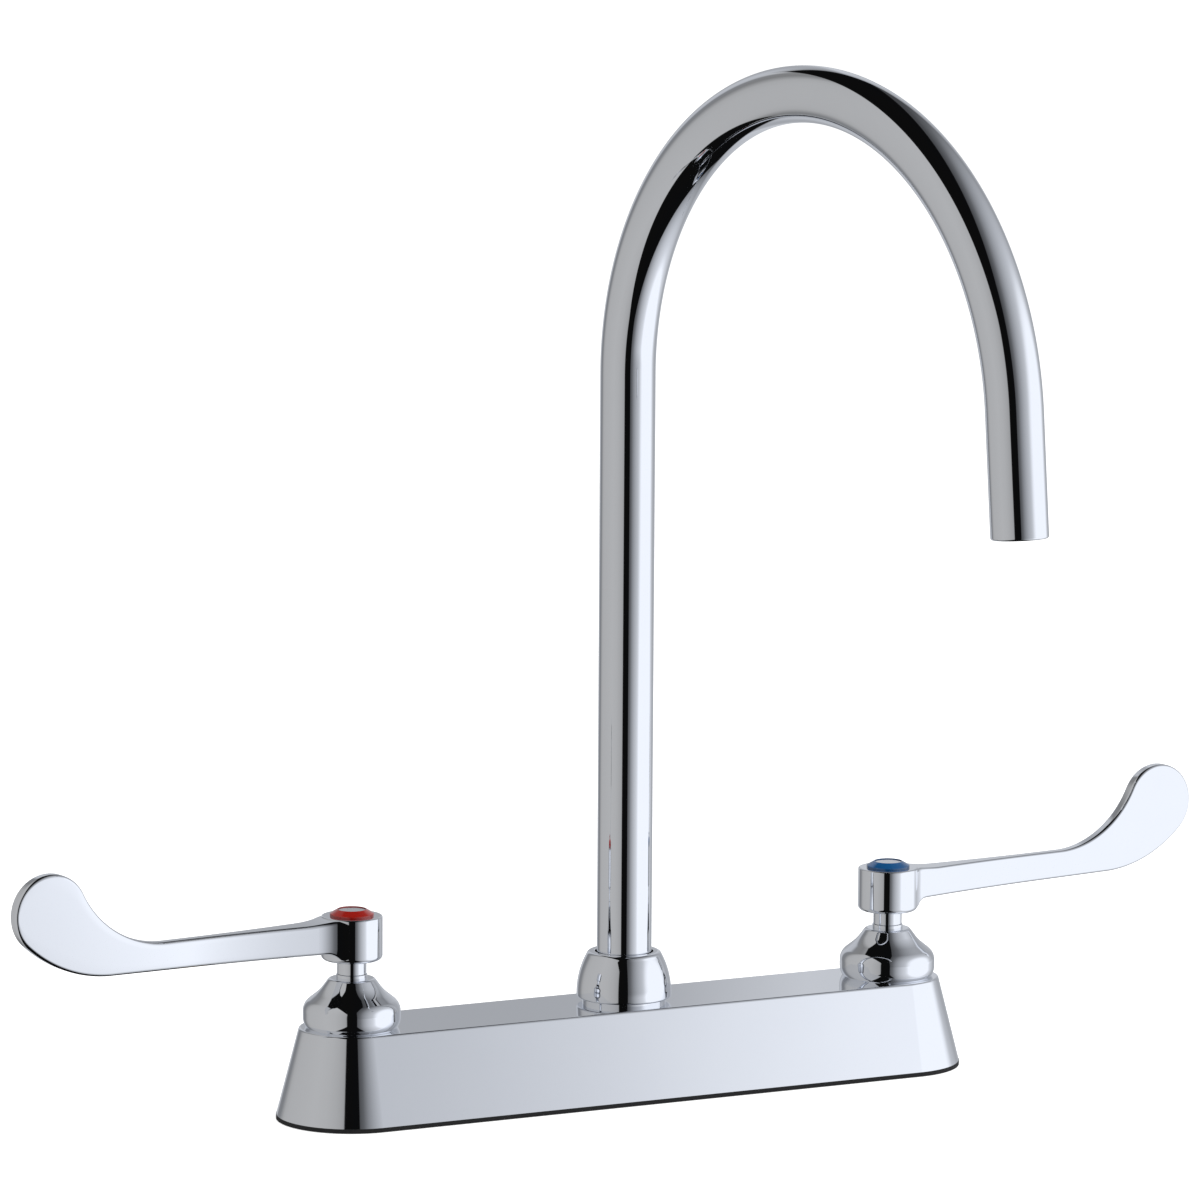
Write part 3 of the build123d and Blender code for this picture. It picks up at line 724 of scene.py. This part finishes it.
def make_collar():
    crown_steps = 28
    top_steps = 12
    hole_round = 0.3
    crown_start = (collar_radius, collar_bottom + collar_straight)
    crown_end = Vector((collar_neck_radius, collar_top - collar_top_round))
    round_end = Vector((collar_neck_radius - collar_top_width, collar_top))
    outline = tangent_arc(crown_start, (0, 1), crown_end, crown_steps)
    outline += list(reversed(tangent_arc(round_end, (1, 0), crown_end, top_steps)))[1:]
    outline += rounded(round_end, (collar_hole_radius, collar_top, hole_round),
                       (collar_hole_radius, collar_shoulder), (nut_bore_radius, collar_shoulder),
                       (nut_bore_radius, collar_bottom), (collar_radius, collar_bottom, collar_foot_round),
                       crown_start)[1:-1]
    skin = Skin()
    skin.lathe(outline)
    return skin


def spout_frame(reach, height, lean):
    """A ring's centre and its two radial directions, where lean turns from upright over the bend."""
    toward = Vector((sin(spout_swing), -cos(spout_swing), 0))
    sideways = Vector((cos(spout_swing), sin(spout_swing), 0))
    centre = toward * reach + Vector((0, 0, height))
    outward = toward * -cos(lean) + Vector((0, 0, sin(lean)))
    return centre, outward, sideways


def bend_place(lean):
    """The reach, height and lean of a ring on the bend."""
    return bend_radius * (1 - cos(lean)), spring_height + bend_radius * sin(lean), lean


def outlet_place(distance):
    """The ring place on the straight outlet, at a distance back up from the mouth."""
    full = pi - bend_shortfall
    reach, height, _ = bend_place(full)
    run = outlet_drop - distance
    return reach + run * sin(full), height + run * cos(full), full


def spout_places():
    """Ring places up the riser and over the bend."""
    riser_steps = 10
    bend_steps = 140
    places = []
    for step in range(riser_steps):
        places.append((0, tube_foot + (spring_height - tube_foot) * step / riser_steps, 0))
    for step in range(bend_steps + 1):
        places.append(bend_place((pi - bend_shortfall) * step / bend_steps))
    return places


def ring_points(centre, outward, sideways, radius, steps):
    points = []
    for step in range(steps):
        angle = 2 * pi * step / steps
        points.append(centre + (outward * cos(angle) + sideways * sin(angle)) * radius)
    return points


def ring_at(skin, place, radius):
    """A ring of the spout about one of its places."""
    return skin.loop(ring_points(*spout_frame(*place), radius, turn_steps))


def make_spout_tube():
    skin = Skin()
    places = spout_places()
    outlet_steps = 4
    round_steps = 6
    loops = [ring_at(skin, place, spout_radius) for place in places]
    for step in range(1, outlet_steps):
        loops.append(ring_at(skin, outlet_place(outlet_drop * (1 - step / outlet_steps)), spout_radius))
    for step in range(round_steps + 1):
        angle = pi / 2 * step / round_steps
        radius = spout_radius - outlet_edge_round * (1 - cos(angle))
        loops.append(ring_at(skin, outlet_place(outlet_edge_round * (1 - sin(angle))), radius))
    loops.append(ring_at(skin, outlet_place(0), socket_bore_radius))
    loops.append(ring_at(skin, outlet_place(socket_depth), socket_bore_radius))
    loops.append(ring_at(skin, outlet_place(socket_depth), spout_bore_radius))
    loops += [ring_at(skin, place, spout_bore_radius) for place in reversed(places)]
    skin.tube(loops)
    skin.band(loops[-1], loops[0])
    return skin


def make_flow_regulator():
    skin = Skin()
    ends = []
    for distance in (socket_depth, socket_depth + regulator_length):
        centre, outward, sideways = spout_frame(*outlet_place(distance))
        loops = [ring_at(skin, outlet_place(distance), spout_bore_radius - regulator_gap)]
        places = [(0, 0)]
        for step in range(regulator_hole_count):
            angle = 2 * pi * step / regulator_hole_count
            places.append((regulator_hole_circle * cos(angle), regulator_hole_circle * sin(angle)))
        for out, across in places:
            middle = centre + outward * out + sideways * across
            hole = ring_points(middle, outward, sideways, regulator_hole_radius, small_hole_steps)
            loops.append(skin.loop(hole))
        skin.fill(*loops)
        ends.append(loops)
    for one, other in zip(*ends):
        skin.band(one, other)
    return skin


def add_thread(skin, low, high):
    """A helical thread between two heights, closed on its inside below the root."""
    wall = 0.5
    spare_turns = 1
    # The thread's profile, as (share of the pitch, share of the depth).
    profile = [(0.0, 0.0), (0.12, 0.0), (0.44, 1.0), (0.56, 1.0)]
    turns = ceil((high - low) / thread_pitch) + 2 * spare_turns
    root = shank_radius - thread_depth
    rows = []
    for turn in range(turns):
        for part, raised in profile:
            points = []
            for step in range(thread_steps):
                angle = 2 * pi * step / thread_steps
                height = low + (turn - spare_turns + part + step / thread_steps) * thread_pitch
                height = min(max(height, low), high)
                from_end = min(height - low, high - height)
                radius = min(root + thread_depth * raised, root + from_end)
                points.append((radius * cos(angle), radius * sin(angle), height))
            rows.append(skin.loop(points))
    for index in range(len(rows) - 1):
        for step in range(thread_steps):
            if step + 1 < thread_steps:
                after, after_up = rows[index][step + 1], rows[index + 1][step + 1]
            else:
                after = rows[min(index + len(profile), len(rows) - 1)][0]
                after_up = rows[min(index + 1 + len(profile), len(rows) - 1)][0]
            skin.faces.append((rows[index][step], after, after_up, rows[index + 1][step]))
    inner_low = skin.loop(circle(root - wall, low, thread_steps))
    inner_high = skin.loop(circle(root - wall, high, thread_steps))
    skin.band(rows[0], inner_low)
    skin.band(inner_low, inner_high)
    skin.band(inner_high, rows[-1])


def make_shank():
    skin = Skin()
    core = shank_radius - thread_depth - core_clearance
    runout = runout_radius - runout_inset
    skin.lathe([
        (shank_bore_radius, shank_bottom), (core, shank_bottom), (core, coupling_top - runout_inset),
        (runout, coupling_top), (runout, runout_top), (core, runout_top + runout_inset), (core, 0),
        (shank_radius, 0), (shank_radius, shank_top), (shank_bore_radius, shank_top)], thread_steps)
    add_thread(skin, shank_bottom, coupling_top)
    add_thread(skin, runout_top, thread_top)
    return skin


def make_washer():
    bottom_round = 0.2
    rim_round = 0.5
    hole_round = 0.3
    low = counter_bottom - washer_thickness
    skin = Skin()
    skin.lathe(rounded(
        (washer_hole_radius, low, bottom_round), (washer_radius, low, bottom_round),
        (washer_radius, counter_bottom, rim_round), (washer_hole_radius, counter_bottom, hole_round)))
    return skin


def make_locknut():
    """A hexagon whose corners are crowned at both ends."""
    steps = 144
    crown_rows = 6
    crown_slope = 2
    skin = Skin()
    high = counter_bottom - washer_thickness
    low = high - locknut_height
    corner = locknut_apothem / cos(pi / 6)
    crown_radius = corner - crown_slope * locknut_crown
    rows = []
    depths = [locknut_crown * share / crown_rows for share in range(crown_rows + 1)]
    heights = [(low + depth, depth) for depth in depths]
    heights += [(high - depth, depth) for depth in reversed(depths)]
    for height, depth in heights:
        points = []
        for step in range(steps):
            angle = 2 * pi * step / steps
            flat = locknut_apothem / cos((angle % (pi / 3)) - pi / 6)
            radius = min(flat, crown_radius + crown_slope * depth)
            points.append((radius * cos(angle), radius * sin(angle), height))
        rows.append(skin.loop(points))
    bore = [skin.loop(circle(locknut_bore_radius, height, steps)) for height in (high, low)]
    skin.tube(rows + bore)
    skin.band(bore[-1], rows[0])
    return skin


def dress_frame():
    """Give every CAD node the finish of its slot in the record."""
    for entry in frame["record"]["subparts"]:
        node = frame["nodes"].get(entry["node"])
        if node is None:
            continue
        finish = finishes[entry["material_slot"]]
        if not node.material_slots:
            node.data.materials.append(finish)
        for material_slot in node.material_slots:
            material_slot.material = finish


def build_faucet():
    still = Matrix.Identity(4)
    add_piece("cover_shell", make_deck_cover(), still, "root", "chrome", "deck_cover")
    add_piece("gasket_sheet", make_base_gasket(), still, "root", "black_rubber", "base_gasket")
    add_piece("collar_bell", make_collar(), still, "root", "chrome", "spout_collar")
    add_piece("collar_seat", make_seat_ring(), still, "root", "chrome", "spout_seat_ring")
    add_piece("gooseneck", make_spout_tube(), still, "spout", "chrome", "spout_tube")
    add_piece("outlet_regulator", make_flow_regulator(), still, "spout", "white_plastic", "flow_regulator")
    for valve, side, facing in (("hot", -1, pi), ("cold", 1, 0)):
        place = Matrix.Translation((side * valve_offset * MM, 0, 0))
        lever = place @ Matrix.Rotation(facing + handle_swing, 4, "Z")
        body = f"{valve}_lever"
        add_piece(f"{valve}_bell", make_bonnet(), place, "root", "chrome", f"{valve}_bonnet")
        add_piece(f"{valve}_bush_ring", make_stem_bush(), place, "root", "chrome", f"{valve}_stem_bush")
        add_piece(f"{valve}_inlet", make_shank(), place, "root", "brass", f"{valve}_shank")
        add_piece(f"{valve}_flat_washer", make_washer(), place, "root", "steel", f"{valve}_washer")
        add_piece(f"{valve}_hex_nut", make_locknut(), place, "root", "brass", f"{valve}_locknut")
        add_piece(f"{valve}_stem_sleeve", make_stem_sleeve(), lever, body, "chrome")
        add_piece(f"{valve}_wrist_blade", make_handle(), lever, body, "chrome", f"{valve}_handle")
        ring_slot = "red_plastic" if valve == "hot" else "blue_plastic"
        add_piece(f"{valve}_colour_ring", make_index_ring(), lever, body, ring_slot, f"{valve}_index_ring")
        add_piece(f"{valve}_button_cap", make_index_cap(), lever, body, "silver", f"{valve}_index_cap")


def add_camera():
    back = Vector((sin(camera_azimuth) * cos(camera_elevation),
                   -cos(camera_azimuth) * cos(camera_elevation), sin(camera_elevation)))
    level = Vector((cos(camera_azimuth), sin(camera_azimuth), 0))
    upward = back.cross(level)
    right = level * cos(camera_roll) + upward * sin(camera_roll)
    up = upward * cos(camera_roll) - level * sin(camera_roll)
    place = (back * camera_distance + right * camera_right + up * camera_up) * MM
    data = bpy.data.cameras.new("photo_camera")
    data.sensor_width = sensor_width
    data.lens = sensor_width * focal_pixels / image_pixels
    data.clip_start = 0.05
    data.clip_end = 60
    camera = bpy.data.objects.new("photo_camera", data)
    camera.matrix_world = Matrix.Translation(place) @ Matrix((right, up, back)).transposed().to_4x4()
    bpy.context.scene.collection.objects.link(camera)
    bpy.context.scene.camera = camera


# The studio is a round shell about the faucet that only mirrors see, in metres.
studio_radius = 1.2
studio_height = 0.1

# How bright its left side is, as (degrees to the right of the camera, brightness).
left_panel = [
    (-180, 0.43), (-178, 0.415), (-174, 0.41), (-168, 0.48), (-162, 0.56), (-152, 0.52), (-146, 0.24),
    (-134, 0.23), (-128, 0.31), (-120, 0.42), (-110, 0.45), (-60, 0.48), (-40, 0.46), (-26, 0.42),
    (-18, 0.38), (-14.2, 0.34), (-12.6, 0.004), (0, 0.004),
]

# How bright its right side is, as (degrees from the lamp, brightness), and at most panel_limit.
right_panel = [
    (0, 1.12), (18, 1.12), (22, 1.07), (26, 1.01), (29, 0.94), (32, 0.84), (35, 0.71), (38.5, 0.6),
    (42, 0.54), (47, 0.48), (54, 0.39), (62, 0.27), (70, 0.13), (77, 0.07), (90, 0.04), (180, 0.03),
]
lamp_azimuth = radians(86)
panel_limit = 1.04

# The right side grows brighter by this share as a direction's height falls from the first to the second.
low_boost = 0.28
low_heights = (-0.06, -0.19)

# How bright its back is to the right of the middle, as (degrees to the right of the camera, brightness).
backdrop = [(90, 0.42), (150, 0.42), (168, 0.56), (175.5, 0.62), (178.6, 0.46), (180, 0.43)]

# The back comes in as a direction's part away from the camera grows from the first to the second.
back_start = (0.5, 0.8)

# What is left where no panel shines.
dark_level = 0.004

# The dark gap that the camera looks through gives way to the right side between these two angles.
gap_end = (radians(9), radians(10.5))

# How far the studio's sides reach up and down, as height over distance, and how softly they end.
left_reach = (2.14, 1.36)
right_reach = (5.04, 2.13)
back_reach = (1.08, 0.93)
edge_softness = 0.06

# The tint of the light from the left, and of the light from the right and from behind.
left_tint = (1.0, 1.0, 1.0)
cool_tint = (0.95, 0.98, 1.04)


def camera_side(right, toward, height):
    """A direction from its parts to the right, toward the camera and up."""
    across = Vector((cos(camera_azimuth), sin(camera_azimuth), 0))
    nearer = Vector((sin(camera_azimuth), -cos(camera_azimuth), 0))
    return across * right + nearer * toward + Vector((0, 0, height))


def add_world():
    """Plain white behind the faucet for the camera, and an even soft light for everything else."""
    world = bpy.data.worlds.new("plain_white")
    bpy.context.scene.world = world
    world.use_nodes = True
    nodes = world.node_tree.nodes
    links = world.node_tree.links
    soft = nodes["Background"]
    soft.inputs["Color"].default_value = (0.4, 0.4, 0.4, 1)
    plain = nodes.new("ShaderNodeBackground")
    plain.inputs["Color"].default_value = (1, 1, 1, 1)
    choose = nodes.new("ShaderNodeMixShader")
    seen = nodes.new("ShaderNodeLightPath")
    links.new(seen.outputs["Is Camera Ray"], choose.inputs["Fac"])
    links.new(soft.outputs["Background"], choose.inputs[1])
    links.new(plain.outputs["Background"], choose.inputs[2])
    links.new(choose.outputs["Shader"], nodes["World Output"].inputs["Surface"])


def make_studio_glow():
    """A dark room with a grey panel to the left, a lit one to the right and a backdrop behind."""
    material = bpy.data.materials.new("studio_glow")
    material.use_nodes = True
    nodes = material.node_tree.nodes
    links = material.node_tree.links
    nodes.remove(nodes["Principled BSDF"])

    def feed(socket, value):
        if isinstance(value, (int, float)):
            socket.default_value = value
        else:
            links.new(value, socket)

    def combine(operation, *values):
        node = nodes.new("ShaderNodeMath")
        node.operation = operation
        for socket, value in zip(node.inputs, values):
            feed(socket, value)
        return node.outputs["Value"]

    def facing(direction):
        dot = nodes.new("ShaderNodeVectorMath")
        dot.operation = "DOT_PRODUCT"
        dot.inputs[1].default_value = direction
        links.new(outward.outputs["Vector"], dot.inputs[0])
        return dot.outputs["Value"]

    def ease(value, low, high):
        ends = nodes.new("ShaderNodeMapRange")
        ends.interpolation_type = "SMOOTHSTEP"
        ends.inputs["From Min"].default_value = low
        ends.inputs["From Max"].default_value = high
        links.new(value, ends.inputs["Value"])
        return ends.outputs["Result"]

    def graded(angle, low, high, stops_wanted):
        share = nodes.new("ShaderNodeMapRange")
        share.inputs["From Min"].default_value = radians(low)
        share.inputs["From Max"].default_value = radians(high)
        links.new(angle, share.inputs["Value"])
        ramp = nodes.new("ShaderNodeValToRGB")
        stops = ramp.color_ramp.elements
        while len(stops) > 1:
            stops.remove(stops[-1])
        for index, (at, level) in enumerate(stops_wanted):
            position = (at - low) / (high - low)
            stop = stops[0] if index == 0 else stops.new(position)
            stop.position = position
            stop.color = (level, level, level, 1)
        links.new(share.outputs["Result"], ramp.inputs["Fac"])
        return ramp.outputs["Color"]

    def within(height, distance, reach):
        """One where a height lies between a side's lower and upper edge, and nought beyond."""
        least_distance = 0.01
        slope = combine("DIVIDE", height, combine("MAXIMUM", distance, least_distance))
        upper = ease(slope, reach[0] + edge_softness, reach[0] - edge_softness)
        lower = ease(slope, -reach[1] - edge_softness, -reach[1] + edge_softness)
        return combine("MULTIPLY", upper, lower)

    where = nodes.new("ShaderNodeTexCoord")
    outward = nodes.new("ShaderNodeVectorMath")
    outward.operation = "NORMALIZE"
    links.new(where.outputs["Object"], outward.inputs[0])
    right = facing(camera_side(1, 0, 0))
    toward = facing(camera_side(0, 1, 0))
    height = facing((0, 0, 1))
    left = combine("MULTIPLY", right, -1)
    behind = combine("MULTIPLY", toward, -1)
    azimuth = combine("ARCTAN2", right, toward)
    at_back = ease(behind, *back_start)
    back_part = combine("MULTIPLY", at_back, within(height, behind, back_reach))
    left_part = combine("MAXIMUM", within(height, left, left_reach), back_part)
    left_light = combine("MULTIPLY", graded(azimuth, -180, 0, left_panel), left_part)
    lamp_angle = combine("ARCCOSINE", facing(camera_side(sin(lamp_azimuth), cos(lamp_azimuth), 0)))
    right_part = combine("MULTIPLY", within(height, right, right_reach), ease(azimuth, *gap_end))
    low_gain = combine("MULTIPLY_ADD", ease(height, *low_heights), low_boost, 1)
    right_light = combine("MULTIPLY", graded(lamp_angle, 0, 180, right_panel), low_gain)
    right_light = combine("MULTIPLY", combine("MINIMUM", right_light, panel_limit), right_part)
    back_light = combine("MULTIPLY", graded(azimuth, 90, 180, backdrop), back_part)
    right_light = combine("MAXIMUM", right_light, back_light)
    on_right = combine("GREATER_THAN", right, 0)
    on_left = combine("SUBTRACT", 1, on_right)
    right_light = combine("MULTIPLY", right_light, on_right)
    left_light = combine("MULTIPLY", left_light, on_left)
    glow = nodes.new("ShaderNodeEmission")
    tint = mix_colours(nodes, links, combine("MAXIMUM", on_right, at_back), left_tint, cool_tint)
    links.new(tint, glow.inputs["Color"])
    level = combine("MAXIMUM", combine("ADD", right_light, left_light), dark_level)
    links.new(level, glow.inputs["Strength"])
    links.new(glow.outputs["Emission"], nodes["Material Output"].inputs["Surface"])
    return material


def add_studio_shell():
    """A round wall about the faucet that carries the studio's light and is seen only by mirrors."""
    around = 64
    upward = 32
    skin = Skin()
    rows = []
    for step in range(1, upward):
        angle = pi * step / upward
        rows.append(skin.loop(circle(sin(angle), -cos(angle), around)))
    skin.tube(rows)
    for row, pole in ((rows[0], -1), (rows[-1], 1)):
        end = skin.loop([(0, 0, pole)])[0]
        for here, after in zip(row, [*row[1:], row[0]]):
            skin.faces.append((here, after, end))
    mesh = bpy.data.meshes.new("studio_shell")
    mesh.from_pydata([tuple(point * studio_radius) for point in skin.points], [], skin.faces)
    mesh.materials.append(make_studio_glow())
    shell = bpy.data.objects.new("studio_shell", mesh)
    shell.location.z = studio_height
    shell.visible_camera = False
    shell.visible_diffuse = False
    shell.visible_transmission = False
    shell.visible_shadow = False
    bpy.context.scene.collection.objects.link(shell)


def add_floor():
    """A plain pale floor at deck level, which mirrors leave out."""
    size = 12.0
    clear_of_gasket = 0.0002
    mesh = bpy.data.meshes.new("floor")
    corners = [(-size, -size, 0), (size, -size, 0), (size, size, 0), (-size, size, 0)]
    mesh.from_pydata(corners, [], [(0, 1, 2, 3)])
    material, _, _, shader = new_material("pale_floor", (0.9, 0.9, 0.9), 0.0, 0.8)
    shader.inputs["Emission Color"].default_value = (1, 1, 1, 1)
    shader.inputs["Emission Strength"].default_value = 0.75
    mesh.materials.append(material)
    floor = bpy.data.objects.new("floor", mesh)
    floor.location.z = -clear_of_gasket
    floor.visible_glossy = False
    bpy.context.scene.collection.objects.link(floor)


def add_light():
    """A soft light overhead, which mirrors leave out."""
    aim = Vector((0, 0, 0.15))
    data = bpy.data.lights.new("overhead_softbox", "AREA")
    data.shape = "RECTANGLE"
    data.size = 1.6
    data.size_y = 1.2
    data.energy = 22
    light = bpy.data.objects.new("overhead_softbox", data)
    light.location = (0.5, -0.6, 1.8)
    light.rotation_euler = (aim - light.location).to_track_quat("-Z", "Y").to_euler()
    light.visible_glossy = False
    bpy.context.scene.collection.objects.link(light)


dress_frame()
build_faucet()
add_camera()
add_world()
add_studio_shell()
add_floor()
add_light()
bpy.context.scene.view_settings.view_transform = "Standard"
